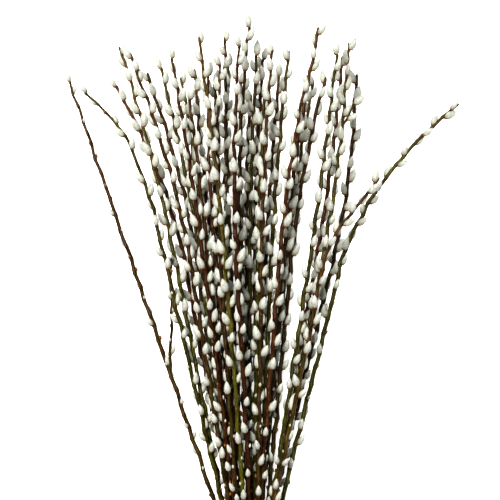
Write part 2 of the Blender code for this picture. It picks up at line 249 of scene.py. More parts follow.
# The twine of the tie
TWINE_RADIUS = TIE_THICKNESS / 2
TWINE_TURNS = 7
STRAND_RADIUS = 0.62 * MM
STRAND_OFFSET = 0.55 * MM
STRAND_PITCH = 7.5 * MM
STRAND_STEP = 1.1 * MM
STRAND_SIDES = 6
TUCK_LENGTH = 14 * MM
TUCK_DEPTH = 2.4 * MM

# Colours: a pair is dark and light, and the catkins' three run from the base to the tip
BARKS = {
    "bark_red_brown": ((0.020, 0.007, 0.003), (0.165, 0.058, 0.018)),
    "bark_brown": ((0.015, 0.009, 0.003), (0.158, 0.083, 0.028)),
    "bark_olive": ((0.018, 0.017, 0.003), (0.185, 0.166, 0.028)),
}
BARK_TURNS = ("bark_brown", "bark_olive", "bark_red_brown", "bark_olive", "bark_brown")
# Greener bark towards the tie, kept dark there as painted shade of the crowded stems
LOW_BARK_GREEN_AND_SHADE = {
    "bark_red_brown": (0.105, 0.050, 0.010),
    "bark_brown": (0.100, 0.076, 0.014),
    "bark_olive": (0.130, 0.123, 0.016),
}
HIGH_BARK = (0.105, 0.047, 0.017)
LENTICEL_COLOUR = (0.24, 0.20, 0.11)
SCALE_COLOURS = ((0.075, 0.032, 0.010), (0.34, 0.160, 0.044))
# The catkins' run from a darker base to paler tips is partly their own colour, partly painted shade at the
# base and painted light at the tips
CATKIN_COLOURS = ((0.20, 0.185, 0.095), (0.48, 0.475, 0.41), (0.67, 0.67, 0.61))
# The first greys some catkins at random; the second greys the down's streaks, its bract tips and the painted
# shade between its locks
CATKIN_SHADES = ((0.40, 0.41, 0.37), (0.27, 0.28, 0.25))
WOOD_COLOURS = ((0.50, 0.46, 0.26), (0.74, 0.68, 0.46))
PITH_COLOUR = (0.80, 0.74, 0.60)
TWINE_COLOURS = ((0.20, 0.12, 0.05), (0.56, 0.40, 0.21))
FLOOR_COLOUR = (0.93, 0.93, 0.92)


class Pattern(NamedTuple):
    """A noise as a share of a colour: its values over the span give the share from first to last."""

    scale: float
    span: tuple = (0, 1)
    share: tuple = (0, 1)
    stretch: tuple = (1, 1, 1)
    detail: float = 2


class Relief(NamedTuple):
    """A bumpy surface: the noise that it follows, its strength and its height in metres."""

    pattern: Pattern
    strength: float
    height: float


# Bark, and where along the bunch, in metres, it turns greener and darker towards the tie, the darkening
# painted shade of the crowded stems, and browner to the tips
BARK_STREAKS = Pattern(1000, (0.38, 0.64), stretch=(1, 0.06, 1), detail=4)
BARK_PATCHES = Pattern(34, (0.35, 0.65), stretch=(1, 0.5, 1))
BARK_BLOTCHES = Pattern(140, (0.42, 0.66), (0, 0.6), (1, 0.35, 1))
BARK_RELIEF = Relief(Pattern(1700, stretch=(1, 0.07, 1), detail=4), 0.7, 0.0003)
BARK_ROUGHNESS = (0.33, 0.52)
BARK_SPECULAR = 0.24
LOW_BARK_GREEN_AND_SHADE_SPAN = (0.46, 0.08)
HIGH_BARK_SPAN, HIGH_BARK_SHARE = (0.30, 0.62), (0, 0.75)
BRANCH_SHADE = (0, 0.55)
LENTICEL_SCALE = 330
LENTICEL_STRETCH = (1, 0.6, 1)
LENTICEL_SIZE = 0.17
LENTICEL_EDGE = 0.6
LENTICEL_SHARE = (0.9, 0.4)

# Bud scales, down, cut wood, twine and floor
SCALE_BLOTCHES = Pattern(800, (0.4, 0.7), (0, 0.6))
SCALE_RELIEF = Relief(Pattern(1400), 0.2, 0.0001)
SCALE_ROUGHNESS = 0.38
# Spans of the run from the down's darker base to its paler tips, partly painted shade and light
DOWN_FROM_BASE, DOWN_TO_TIP = (0.02, 0.3), (0.35, 0.9)
CATKIN_SHADE = (0, 0.32)
DOWN_STRANDS = Pattern(1500, (0.35, 0.7), (0.22, 0), (1, 0.25, 1), 3)
# Dark bract tips that show through the down, and painted shade between its locks
DOWN_BRACTS_AND_SHADE = Pattern(380, (0.46, 0.68), (0, 0.6), (1, 0.55, 1), 3)
DOWN_RELIEF = Relief(Pattern(2200, stretch=(1, 0.25, 1)), 0.25, 0.0001)
DOWN_ROUGHNESS = 0.7
DOWN_SHEEN, DOWN_SHEEN_ROUGHNESS = 0.5, 0.4
WOOD_GRAIN = Pattern(1200, (0.35, 0.65))
WOOD_RELIEF = Relief(Pattern(2600), 0.3, 0.0001)
WOOD_ROUGHNESS = 0.75
PITH_SPECKS = Pattern(1800, (0.4, 0.6))
PITH_ROUGHNESS = 0.9
TWINE_FIBRES = Pattern(700, (0.32, 0.68), detail=4)
TWINE_RELIEF = Relief(Pattern(1100, detail=4), 0.5, 0.0004)
TWINE_ROUGHNESS = 0.88
TWINE_SHEEN = 0.25
FLOOR_ROUGHNESS = 0.9
FLOOR_SPECULAR = 0.1

# The photograph's view, from straight above the bunch
FRAME_WIDTH = 600 * MM
FRAME_MIDDLE = 403 * MM
CAMERA_HEIGHT = 3.0
SEEN_HEIGHT = 60 * MM
SENSOR_WIDTH = 36

# The studio, with its places in metres and its lamps' power in watts
LIT_POINT = (0, 0.3, 0)
FLOOR_REACH = 12
FLOOR_GAP = 0.4 * MM
KEY_PLACE = (-0.8, 1.2, 3.5)
KEY_SIZE = 1.6
FILL_PLACE = (2.6, -0.6, 2.4)
FILL_SIZE = 1.6
WORLD_STRENGTH = 0.03
KEY_POWER = 168
FILL_POWER = 14
FLOOR_GLOW = 0.45
WHITE = (1, 1, 1, 1)


# The courses of the stems

def levels():
    """Distances from the tie at which each stem's course is worked out, closer together near the tie."""
    steps = np.arange(LEVEL_COUNT)
    return STRAIGHT_REACH + FIRST_STEP * steps + STEP_GROWTH * steps**2


def slots():
    """Each branch's place in the tie, across and above the table, with low tips low and left tips left."""
    by_height = sorted(range(len(BRANCHES)), key=lambda n: BRANCHES[n][2])
    places = np.zeros((len(BRANCHES), 2))
    for row, count in enumerate(ROW_COUNTS):
        members, by_height = by_height[:count], by_height[count:]
        members.sort(key=lambda n: BRANCHES[n][3])
        for column, branch in enumerate(members):
            across = (column - (count - 1) / 2) * STEM_PITCH
            places[branch] = across, LOWEST_STEM_HEIGHT + row * ROW_RISE
    return places


def aims(places, along):
    """Where each stem would run alone: straight to its place at MIDDLE, then bending to its tip."""
    courses = np.zeros((len(BRANCHES), len(along), 2))
    for n, (tip_across, tip_along, tip_height, middle_across) in enumerate(BRANCHES):
        across, height = places[n]
        slope = (middle_across * MM - across) / (MIDDLE - STRAIGHT_REACH)
        straight = across + slope * (along - STRAIGHT_REACH)
        stray = tip_across * MM - across - slope * (tip_along * MM - STRAIGHT_REACH)
        past_middle = np.clip((along - MIDDLE) / (tip_along * MM - MIDDLE), 0, None)
        bend = past_middle ** LATE_BENDS.get(n, BEND_POWER)
        courses[n, :, 0] = straight + stray * bend
        rise = (along - STRAIGHT_REACH) / (tip_along * MM - STRAIGHT_REACH)
        courses[n, :, 1] = height + (tip_height * MM - height) * rise
    return courses


def stem_radius(share, thickness, tip_share):
    """A stem's radius at a share of its whole length, from the cut end to the tip."""
    return STEM_RADIUS * thickness * (1 - (1 - tip_share) * np.clip(share, 0, 1) ** TAPER_POWER)


def settle(courses, along, thicknesses, tip_shares):
    """Moves the stems' courses apart until each has its room, and holds them up off the table."""
    targets = courses.copy()
    ends = np.array([branch[1] * MM for branch in BRANCHES])
    opened = np.clip(along / ROOM_OPENS_BY, 0, 1)
    floor = LOWEST_STEM_HEIGHT + (LYING_HEIGHT - LOWEST_STEM_HEIGHT) * opened
    for _ in range(SETTLING_ROUNDS):
        push = np.zeros_like(courses)
        for part in TESTED_PARTS:
            here = courses[:, :-1] * (1 - part) + courses[:, 1:] * part
            place = along[:-1] * (1 - part) + along[1:] * part
            share = (place[None] - CUT_END) / (ends[:, None] - CUT_END)
            radii = stem_radius(share, thicknesses[:, None], tip_shares[:, None])
            room = ROOM_IN_TIE + (ROOM_IN_FAN - ROOM_IN_TIE) * np.clip(place / ROOM_OPENS_BY, 0, 1)
            away = here[:, None] - here[None]
            distance = np.maximum(np.hypot(away[..., 0], away[..., 1]), MERGE_DISTANCE)
            lack = np.clip(radii[:, None] + radii[None] + room - distance, 0, None)
            both = (share < JUST_PAST_TIP)[:, None] & (share < JUST_PAST_TIP)[None]
            lack = np.where(both, lack, 0)
            lack[np.arange(len(ends)), np.arange(len(ends))] = 0
            move = (away * (lack / distance)[..., None]).sum(axis=1) / 2
            push[:, :-1] += move * (1 - part)
            push[:, 1:] += move * part
        courses = courses + SETTLING_STEP * push
        strays = courses - targets
        strays[:, 1:-1] += STIFFNESS * (strays[:, :-2] - 2 * strays[:, 1:-1] + strays[:, 2:])
        strays[:, -1] += STIFFNESS * (strays[:, -2] - strays[:, -1])
        courses = targets + strays * (1 - PULL_TO_PLACE)
        courses[:, 0] = targets[:, 0]
        courses[..., 1] = np.maximum(courses[..., 1], floor)
    return courses


class Stem:
    """A stem's course as points along its middle, with a radius at each."""

    def __init__(self, points, radii):
        self.points = np.array(points)
        self.radii = np.array(radii)
        steps = np.linalg.norm(np.diff(self.points, axis=0), axis=1)
        self.lengths = np.concatenate([[0], np.cumsum(steps)])

    def at(self, length):
        """The middle, the direction and the radius at a length from the stem's start."""
        here = int(np.clip(np.searchsorted(self.lengths, length) - 1, 0, len(self.lengths) - 2))
        part = (length - self.lengths[here]) / (self.lengths[here + 1] - self.lengths[here])
        step = self.points[here + 1] - self.points[here]
        radius = self.radii[here] * (1 - part) + self.radii[here + 1] * part
        return Vector(self.points[here] + step * part), Vector(step).normalized(), float(radius)

    def beads(self):
        """Points close together along the stem, each with its radius, for measuring distances."""
        count = int(self.lengths[-1] / BEAD_SPACING) + 2
        found = [self.at(length) for length in np.linspace(0, self.lengths[-1], count)]
        return np.array([[*middle, radius] for middle, _, radius in found])


def main_stems():
    """The courses of all the branches, from the cut end through the tie to the tip."""
    draw = random.Random(SEED)
    thicknesses = np.array([draw.uniform(THINNEST_STEM, 1) for _ in BRANCHES])
    tip_shares = np.array([draw.uniform(*TIP_SHARES) for _ in BRANCHES])
    cuts = [CUT_END + draw.uniform(-1, 1) * CUT_END_SPREAD for _ in BRANCHES]
    along = levels()
    places = slots()
    courses = settle(aims(places, along), along, thicknesses, tip_shares)
    stems = []
    for n, (_, tip_along, _, _) in enumerate(BRANCHES):
        tip = tip_along * MM
        flare = 1 + (CUT_FLARE - 1) * cuts[n] / CUT_END
        across, height = places[n]
        points = [(across * flare, cuts[n], BUNDLE_HEIGHT + (height - BUNDLE_HEIGHT) * flare)]
        points += [(across, y, height) for y in (-STRAIGHT_REACH, STRAIGHT_REACH)]
        points += [(x, y, z) for (x, z), y in zip(courses[n, 1:], along[1:]) if y < tip - FIRST_STEP / 2]
        tip_across, tip_height = (np.interp(tip, along, courses[n, :, axis]) for axis in (0, 1))
        points.append((tip_across, tip, tip_height))
        shares = (np.array([point[1] for point in points]) - CUT_END) / (tip - CUT_END)
        stems.append(Stem(points, stem_radius(shares, thicknesses[n], tip_shares[n])))
    return stems


def shoots_of(stems):
    """The side shoots, as (branch, stem), each starting in the middle of the stem that it grows from."""
    found = []
    for branch, along, tip in SHOOTS:
        parent = stems[branch]
        length = np.interp(along * MM, parent.points[:, 1], parent.lengths)
        start, direction, radius = parent.at(length)
        end = start + Vector(tip) * MM
        elbow = (start + end) / 2 - direction * SHOOT_BOW
        found.append((branch, Stem([start, elbow, end], [radius * share for share in SHOOT_THICKNESS])))
    return found


# The places of the catkins

def side_of(direction, turn):
    """The direction square to a stem's own, turned round it from the one that points up."""
    up = Vector((0, 0, 1))
    outward = (up - direction * up.dot(direction)).normalized()
    return Matrix.Rotation(math.radians(turn), 3, direction) @ outward


class Site(NamedTuple):
    """One catkin's place: its stem, how far along it, the turn round the stem, the lean and the size."""

    stem: Stem
    length: float
    turn: float
    lean: float
    size: float

    def root(self):
        """Where the catkin is rooted in the stem, its axis, and the direction away from the stem."""
        middle, direction, radius = self.stem.at(self.length)
        side = side_of(direction, self.turn)
        axis = direction * math.cos(math.radians(self.lean)) + side * math.sin(math.radians(self.lean))
        return middle + side * radius * CATKIN_ROOT, axis, side

    def beads(self):
        """Balls that fill the catkin's outline, for measuring distances."""
        base, axis, _ = self.root()
        length, radius = CATKIN_LENGTH * self.size, CATKIN_RADIUS * self.size
        return np.array([[*(base + axis * length * part), radius * width] for part, width in CATKIN_OUTLINE])


def clearance(beads, others):
    """The smallest gap between two sets of balls."""
    if not len(others):
        return math.inf
    away = beads[:, None, :3] - others[None, :, :3]
    gaps = np.sqrt((away**2).sum(axis=2)) - beads[:, None, 3] - others[None, :, 3]
    return gaps.min()


def fits(beads, others, catkins):
    """Whether a catkin stands clear of the other stems and catkins, and of the table."""
    lowest = (beads[:, 2] - beads[:, 3]).min()
    if lowest < -FLATTENED_BY_TABLE:
        return False
    return min(clearance(beads, others), clearance(beads, catkins)) > CATKIN_CLEARANCE


def choices_at(branch, stem, length, turn, number, draw):
    """The sites to try for one catkin, best first: none where the bud stays closed."""
    middle = stem.at(length)[0]
    closed_share, full_size = SPARSE_BRANCHES.get(branch, FULL_BRANCH)
    height = np.interp(middle.y, [LOWEST_CATKIN, FULL_CATKINS_FROM], [0, 1])
    closed = draw.random() < closed_share + (LOW_BUDS_CLOSED - closed_share) * (1 - height) and number > 0
    low_size = LOW_CATKIN_SIZE + (1 - LOW_CATKIN_SIZE) * height
    grown = draw.uniform(*CATKIN_GROWTH) * full_size * low_size
    at_tip = length > stem.lengths[-1] - NEARLY_AT_TIP
    lean = draw.uniform(*(CATKIN_LEAN_AT_TIP if at_tip else CATKIN_LEAN))
    choices = []
    if middle.z < RESTS_BELOW and middle.y > FULL_CATKINS_FROM and number % RESTS_EVERY == 0:
        choices.append(Site(stem, length, UNDERNEATH, RESTING_LEAN, 1))
    if not closed:
        choices += [Site(stem, length, turn + more, lean, grown * size)
                    for size in CATKIN_SIZES for more in CATKIN_TRIES]
    return choices


class Bud(NamedTuple):
    """A small bud: its stem, how far along it, the turn round the stem, the size and whether it opens."""

    stem: Stem
    length: float
    turn: float
    size: float
    opens: bool

    def place(self):
        """The place of a bud modelled along +Z."""
        middle, direction, radius = self.stem.at(self.length)
        side = side_of(direction, self.turn)
        lean = math.radians(BUD_LEAN)
        axis = direction * math.cos(lean) + side * math.sin(lean)
        return frame_at(middle + side * radius * CATKIN_ROOT, axis, side) @ Matrix.Scale(self.size, 4)


def catkin_sites(stems, shoots):
    """For each stem, then each shoot: the branch's number, the stem, its catkins' sites and its buds."""
    draw = random.Random(SEED + 1)
    bud_draw = random.Random(SEED + 2)
    everything = [(n, stem) for n, stem in enumerate(stems)] + shoots
    beads = [stem.beads() for _, stem in everything]
    found = []
    catkins = np.zeros((0, 4))
    for branch, stem in everything:
        others = np.concatenate([ball for (n, _), ball in zip(everything, beads) if n != branch])
        length = stem.lengths[-1] - draw.uniform(*BARE_TIP)
        turn = draw.uniform(0, 360)
        number = 0
        sites = []
        buds = []
        while length > CATKIN_RADIUS and stem.at(length)[0].y > LOWEST_CATKIN:
            for site in choices_at(branch, stem, length, turn, number, draw):
                if fits(site.beads(), others, catkins):
                    sites.append(site)
                    catkins = np.concatenate([catkins, site.beads()])
                    break
            else:
                opens = bud_draw.random() < OPENING_BUDS
                buds.append(Bud(stem, length, turn, bud_draw.uniform(*BUD_GROWTH), opens))
            number += 1
            turn += CATKIN_TURN
            length -= CATKIN_SPACING * draw.uniform(*CATKIN_SPREAD)
        found.append((branch, stem, sites, buds))
    return found


# The branches as they show

def smoothed(stem, sites, buds, draw):
    """The stem along a smooth curve, wavy as it grew, kinked away from each bud and swollen at its nodes."""
    grown = sorted(sites + buds, key=lambda node: node.length)
    nodes = np.array([node.length for node in grown])
    total = stem.lengths[-1]
    lengths = [np.arange(0, total, SMOOTH_STEP), total - np.array(TIP_STEPS), [total]]
    lengths += [nodes + step for step in NODE_STEPS]
    lengths = np.unique(np.clip(np.concatenate(lengths), 0, total).round(5))
    pulls = np.gradient(stem.points, stem.lengths, axis=0)
    here = np.clip(np.searchsorted(stem.lengths, lengths, side="right") - 1, 0, len(stem.lengths) - 2)
    span = (stem.lengths[here + 1] - stem.lengths[here])[:, None]
    t = (lengths - stem.lengths[here])[:, None] / span
    points = (2 * t**3 - 3 * t**2 + 1) * stem.points[here] + (3 * t**2 - 2 * t**3) * stem.points[here + 1]
    points += span * ((t**3 - 2 * t**2 + t) * pulls[here] + (t**3 - t**2) * pulls[here + 1])
    freedom = np.clip((points[:, 1] - STRAIGHT_REACH) / WAVES_GROW_BY, 0, 1)
    for axis in (0, 2):
        for reach, length in WAVES:
            wave = np.sin(lengths / length * math.tau + draw.uniform(0, math.tau))
            points[:, axis] += freedom * reach * wave
    sides = np.array([side_of(stem.at(node.length)[1], node.turn) for node in grown])
    for axis in range(3):
        points[:, axis] -= freedom * KINK * np.interp(lengths, nodes, sides[:, axis])
    away = np.abs(lengths[:, None] - nodes[None]).min(axis=1)
    radii = np.interp(lengths, stem.lengths, stem.radii)
    radii *= 1 + NODE_SWELLING * np.exp(-((away / NODE_REACH) ** 2))
    radii *= 1 - (1 - TIP_END) * np.clip(1 - (total - lengths) / TIP_REACH, 0, 1) ** 2
    fine = Stem(points, radii)
    fine.lengths = lengths
    return fine


def evaluated_mesh(thing):
    """The mesh that a curve object gives."""
    bpy.context.view_layer.update()
    graph = bpy.context.evaluated_depsgraph_get()
    return bpy.data.meshes.new_from_object(thing.evaluated_get(graph))


def round_tube(points, radii, sides):
    """A bmesh of a closed round tube along the points."""
    curve = bpy.data.curves.new("course", "CURVE")
    curve.dimensions = "3D"
    curve.twist_mode = "MINIMUM"
    curve.bevel_depth = 1
    curve.bevel_resolution = sides // 2 - 2  # a resolution of r gives 2 r + 4 sides
    curve.use_fill_caps = True
    spline = curve.splines.new("POLY")
    spline.points.add(len(points) - 1)
    spline.points.foreach_set("co", np.column_stack([points, np.ones(len(points))]).ravel())
    spline.points.foreach_set("radius", radii)
    guide = bpy.data.objects.new("course", curve)
    bpy.context.scene.collection.objects.link(guide)
    mesh = evaluated_mesh(guide)
    bpy.data.objects.remove(guide)
    bpy.data.curves.remove(curve)
    bm = bmesh.new()
    bm.from_mesh(mesh)
    bpy.data.meshes.remove(mesh)
    bmesh.ops.remove_doubles(bm, verts=bm.verts, dist=MERGE_DISTANCE)
    bmesh.ops.recalc_face_normals(bm, faces=bm.faces)
    for face in bm.faces:
        face.smooth = True
    return bm


def add_copy(bm, mesh, place=Matrix()):
    """Adds a placed copy of a mesh to the bmesh, lifted off the table, and returns its new vertices."""
    old = len(bm.verts)
    bm.from_mesh(mesh)
    bm.verts.ensure_lookup_table()
    verts = bm.verts[old:]
    bmesh.ops.transform(bm, matrix=place, verts=verts)
    for vert in verts:
        if vert.co.z < TABLE_SOFTNESS:
            vert.co.z = TABLE_SOFTNESS * math.exp(vert.co.z / TABLE_SOFTNESS - 1)
    return verts


def mesh_from(bm, name):
    """The bmesh as a mesh, after which the bmesh is gone."""
    mesh = bpy.data.meshes.new(name)
    bm.to_mesh(mesh)
    bm.free()
    return mesh


def add_tube(bm, tube):
    """Adds a finished tube to the bmesh and returns its new vertices."""
    mesh = mesh_from(tube, "tube")
    verts = add_copy(bm, mesh)
    bpy.data.meshes.remove(mesh)
    return verts


def frame_at(base, axis, side):
    """The place of a thing modelled along +Z, with its +X away from the stem."""
    third = axis.cross(side).normalized()
    return Matrix.Translation(base) @ Matrix((third.cross(axis), third, axis)).transposed().to_4x4()


def fullness(part):
    """A catkin's width at a share of its length, as a share of its widest."""
    return math.sin(math.pi * part**WIDEST_POWER) ** ROUNDNESS if 0 < part < 1 else 0.0


class CatkinForm:
    """The surface of one kind of catkin, standing on the origin along +Z, its tip bent back to the stem."""

    def __init__(self, draw):
        self.bend = draw.uniform(*CATKIN_BEND)
        self.plumpness = draw.uniform(*CATKIN_PLUMPNESS)
        self.turn = draw.uniform(0, math.tau)

    def at(self, part, angle, share=1.0):
        """The point at a share of the length and an angle, at a share of the full width."""
        uneven = 1 + BODY_UNEVENNESS * math.sin(2 * angle + self.turn)
        width = CATKIN_RADIUS * self.plumpness * fullness(part) * uneven * share
        across = width * math.cos(angle) - self.bend * part**2
        return Vector((across, width * math.sin(angle), part * CATKIN_LENGTH))

    def directions(self, part, angle):
        """The directions along the surface to the tip, round it, and out of it."""
        along = (self.at(part + SLOPE_STEP, angle) - self.at(part - SLOPE_STEP, angle)).normalized()
        round_it = (self.at(part, angle + SLOPE_STEP) - self.at(part, angle - SLOPE_STEP)).normalized()
        return along, round_it, round_it.cross(along)


def reshape_sphere(verts, form, share):
    """Turns a unit sphere into the form's surface, at a share of its full width."""
    for vert in verts:
        vert.co = form.at((vert.co.z + 1) / 2, math.atan2(vert.co.y, vert.co.x), share)


class Tuft(NamedTuple):
    """One sort of tuft in the down: how many, and the ranges of its width, length and lift in degrees."""

    count: int
    width: tuple
    length: tuple
    lift: tuple
    thickness: float


TUFT_KINDS = (
    Tuft(46, (0.6 * MM, 0.95 * MM), (3.9 * MM, 5.4 * MM), (4, 9), 0.3 * MM),
    Tuft(40, (0.14 * MM, 0.14 * MM), (3.2 * MM, 4.8 * MM), (9, 26), 0.14 * MM),
)


def add_tuft(bm, form, kind, number, draw):
    """One tapering three-sided tuft that lies along the catkin, its root sunk in the body."""
    part = TUFTS_FROM + TUFTS_REACH * (number + draw.random()) / kind.count
    angle = number * GOLDEN_ANGLE + draw.uniform(-TUFT_SCATTER, TUFT_SCATTER)
    lift = math.radians(draw.uniform(*kind.lift))
    along, round_it, out = form.directions(part, angle)
    heading = along * math.cos(lift) + out * math.sin(lift)
    length = draw.uniform(*kind.length) * (1 - TUFTS_SHORTEN * part)
    half_width = round_it * draw.uniform(*kind.width) / 2
    half_thickness = heading.cross(round_it) * kind.thickness / 2
    place = Matrix((half_width, half_thickness, heading * length)).transposed().to_4x4()
    place.translation = form.at(part, angle, BODY_SHARE) - out * TUFT_DEPTH + heading * length / 2
    place @= Matrix.Rotation(math.pi / 2, 4, "Z")
    cone = bmesh.ops.create_cone(bm, cap_ends=True, segments=TUFT_SIDES, radius1=1, radius2=0, depth=1,
                                 matrix=place)
    return cone["verts"]


def catkin_mesh(seed):
    """One kind of catkin: a plump body, tufts of silky down wound over it, and fine hairs that stand out."""
    draw = random.Random(seed)
    form = CatkinForm(draw)
    bm = bmesh.new()
    along = bm.verts.layers.float.new("along")
    bm.verts.layers.float.new("tint")
    body = bmesh.ops.create_uvsphere(bm, u_segments=BODY_SIDES, v_segments=BODY_RINGS, radius=1)["verts"]
    reshape_sphere(body, form, BODY_SHARE)
    for vert in body:
        vert[along] = vert.co.z / CATKIN_LENGTH * BODY_SHADE
    for face in bm.faces:
        face.smooth = True
    for kind in TUFT_KINDS:
        for number in range(kind.count):
            for vert in add_tuft(bm, form, kind, number, draw):
                vert[along] = vert.co.z / CATKIN_LENGTH
    bmesh.ops.recalc_face_normals(bm, faces=bm.faces)
    return mesh_from(bm, "catkin")


def scale_mesh(tint_value):
    """The bud scale left round a catkin's base: a cup with a longer tongue on the outer side."""
    form = CatkinForm(random.Random(SEED))
    form.bend = 0
    bm = bmesh.new()
    tint = bm.verts.layers.float.new("tint")
    verts = bmesh.ops.create_uvsphere(bm, u_segments=BODY_SIDES, v_segments=SCALE_RINGS, radius=1)["verts"]
    for vert in verts:
        angle = math.atan2(vert.co.y, vert.co.x)
        rim = SCALE_HEIGHT + SCALE_TONGUE * math.cos(angle)
        turn = math.acos(max(-1, min(1, -vert.co.z))) / math.pi
        part = rim * min(turn / SCALE_RIM, 1)
        width = fullness(part) * CATKIN_RADIUS
        width = width + SCALE_THICKNESS if turn < SCALE_RIM else width * SCALE_MOUTH
        if turn in (0, 1):
            width = 0
        vert.co = (width * math.cos(angle), width * math.sin(angle), part * CATKIN_LENGTH - SCALE_THICKNESS)
        vert[tint] = tint_value * (1 + turn) / 2
    for face in bm.faces:
        face.smooth = True
        face.material_index = SCALE_MATERIAL
    bmesh.ops.recalc_face_normals(bm, faces=bm.faces)
    return mesh_from(bm, "scale")


def scar_mesh():
    """The leaf scar's cushion that carries a bud."""
    bm = bmesh.new()
    bm.verts.layers.float.new("tint")
    bmesh.ops.create_uvsphere(bm, u_segments=BUD_SIDES, v_segments=SCAR_RINGS, radius=1)
    bmesh.ops.scale(bm, vec=SCAR_SIZE, verts=bm.verts)
    for face in bm.faces:
        face.smooth = True
    return mesh_from(bm, "scar")


def bud_mesh(tint_value):
    """A closed bud, plump and pointed, standing on the origin along +Z."""
    bm = bmesh.new()
    tint = bm.verts.layers.float.new("tint")
    bmesh.ops.create_uvsphere(bm, u_segments=BUD_SIDES, v_segments=BUD_RINGS, radius=1)
    for vert in bm.verts:
        part = (vert.co.z + 1) / 2
        around = vert.co.xy.normalized() * fullness(part) * BUD_RADIUS
        vert.co = (*around, part * BUD_LENGTH)
        vert[tint] = tint_value * part
    for face in bm.faces:
        face.smooth = True
        face.material_index = SCALE_MATERIAL
    return mesh_from(bm, "bud")


def nub_mesh():
    """The first down that shows from an opening bud, standing on the origin along +Z."""
    bm = bmesh.new()
    along = bm.verts.layers.float.new("along")
    bm.verts.layers.float.new("tint")
    bmesh.ops.create_uvsphere(bm, u_segments=BUD_SIDES, v_segments=BUD_RINGS, radius=1)
    for vert in bm.verts:
        part = (vert.co.z + 1) / 2
        around = vert.co.xy.normalized() * fullness(part) * NUB_RADIUS
        vert.co = (*around, part * NUB_LENGTH)
        vert[along] = NUB_SHADES[0] + (NUB_SHADES[1] - NUB_SHADES[0]) * part
    for face in bm.faces:
        face.smooth = True
    return mesh_from(bm, "nub")


def cut_the_end(bm, stem, draw):
    """Slants the cut end of a stem and gives it its rim of bark, its wood and its pith."""
    start, onward = Vector(stem.points[0]), Vector(stem.points[1])
    ends = [face for face in bm.faces
            if all((vert.co - start).dot(onward - start) < CAP_DEPTH**2 for vert in face.verts)]
    cap = bmesh.ops.dissolve_faces(bm, faces=ends)["region"][0]
    cap.smooth = False
    slant = draw.uniform(0, math.tau)
    for vert in cap.verts:
        across = (vert.co.x - start.x) * math.cos(slant) + (vert.co.z - start.z) * math.sin(slant)
        vert.co.y += (across + stem.radii[0]) * CUT_SLANT
    bmesh.ops.inset_individual(bm, faces=[cap], thickness=BARK_THICKNESS, depth=0)
    cap.material_index = WOOD_MATERIAL
    pith_inset = stem.radii[0] - BARK_THICKNESS - PITH_RADIUS
    bmesh.ops.inset_individual(bm, faces=[cap], thickness=pith_inset, depth=0)
    bmesh.ops.inset_individual(bm, faces=[cap], thickness=PITH_RIM, depth=-CUT_DEPTH)
    cap.material_index = PITH_MATERIAL


def finish_piece(name, bm, materials, nodes):
    """Makes a piece from the bmesh with the given materials, which stands for the CAD nodes and hides them.
    """
    piece = bpy.data.objects.new(name, mesh_from(bm, name))
    bpy.context.scene.collection.objects.link(piece)
    for material in materials:
        piece.data.materials.append(material)
    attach(piece, "root")
    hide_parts(*nodes)


def set_tint(bm, verts, tint):
    """Gives vertices the tint that the materials read."""
    layer = bm.verts.layers.float["tint"]
    for vert in verts:
        vert[layer] = tint


def make_bark(name, node, parts, shapes, materials):
    """A branch's bark: its stem and shoots, with the scars, the closed buds and the catkins' scales."""
    draw = random.Random(name)
    bm = bmesh.new()
    bm.verts.layers.float.new("tint")
    branch_tint = draw.random()
    for number, (fine, sites, buds) in enumerate(parts):
        tube = round_tube(fine.points, fine.radii, BARK_SIDES)
        if number == 0:
            cut_the_end(tube, fine, draw)
        set_tint(bm, add_tube(bm, tube), branch_tint)
        for site in sites:
            base, axis, side = site.root()
            place = frame_at(base, axis, side) @ Matrix.Scale(site.size, 4)
            add_copy(bm, draw.choice(shapes["scales"]), place)
        for bud in buds:
            if not bud.opens:
                add_copy(bm, draw.choice(shapes["buds"]), bud.place())
        for grown in sites + buds:
            middle, direction, radius = fine.at(grown.length - SCAR_BELOW * grown.size)
            side = side_of(direction, grown.turn)
            scar = frame_at(middle + side * radius * CATKIN_ROOT, direction, side)
            set_tint(bm, add_copy(bm, shapes["scar"], scar), branch_tint)
    finish_piece(name, bm, materials, [node])


def make_catkins(name, node, parts, kinds, nub, material):
    """All the catkins of one branch, and the first down of its opening buds."""
    draw = random.Random(name)
    bm = bmesh.new()
    bm.verts.layers.float.new("tint")
    for _, sites, buds in parts:
        for bud in buds:
            if bud.opens:
                set_tint(bm, add_copy(bm, nub, bud.place()), draw.random())
        for site in sites:
            base, axis, side = site.root()
            spin = Matrix.Rotation(draw.uniform(-CATKIN_SPIN, CATKIN_SPIN), 4, "Z")
            place = frame_at(base, axis, side) @ Matrix.Scale(site.size, 4) @ spin
            set_tint(bm, add_copy(bm, draw.choice(kinds), place), draw.random())
    finish_piece(name, bm, [material], [node])


# The tie

def tie_outline(outward):
    """Points round the bundle in the tie, at a distance from the middles of its six corner stems."""
    half_short = (ROW_COUNTS[0] - 1) / 2 * STEM_PITCH
    half_long = (max(ROW_COUNTS) - 1) / 2 * STEM_PITCH
    rise = BUNDLE_HEIGHT - LOWEST_STEM_HEIGHT
    corners = ((half_long, 0), (half_short, rise), (-half_short, rise))
    corners += tuple((-across, -height) for across, height in corners)
    points = []
    for number, (across, height) in enumerate(corners):
        for step in range(CORNER_STEPS + 1):
            angle = math.radians(CORNER_TURN * (number - 0.5 + step / CORNER_STEPS))
            x = across + outward * math.cos(angle)
            points.append((x, 0, BUNDLE_HEIGHT + height + outward * math.sin(angle)))
    return np.array(points)


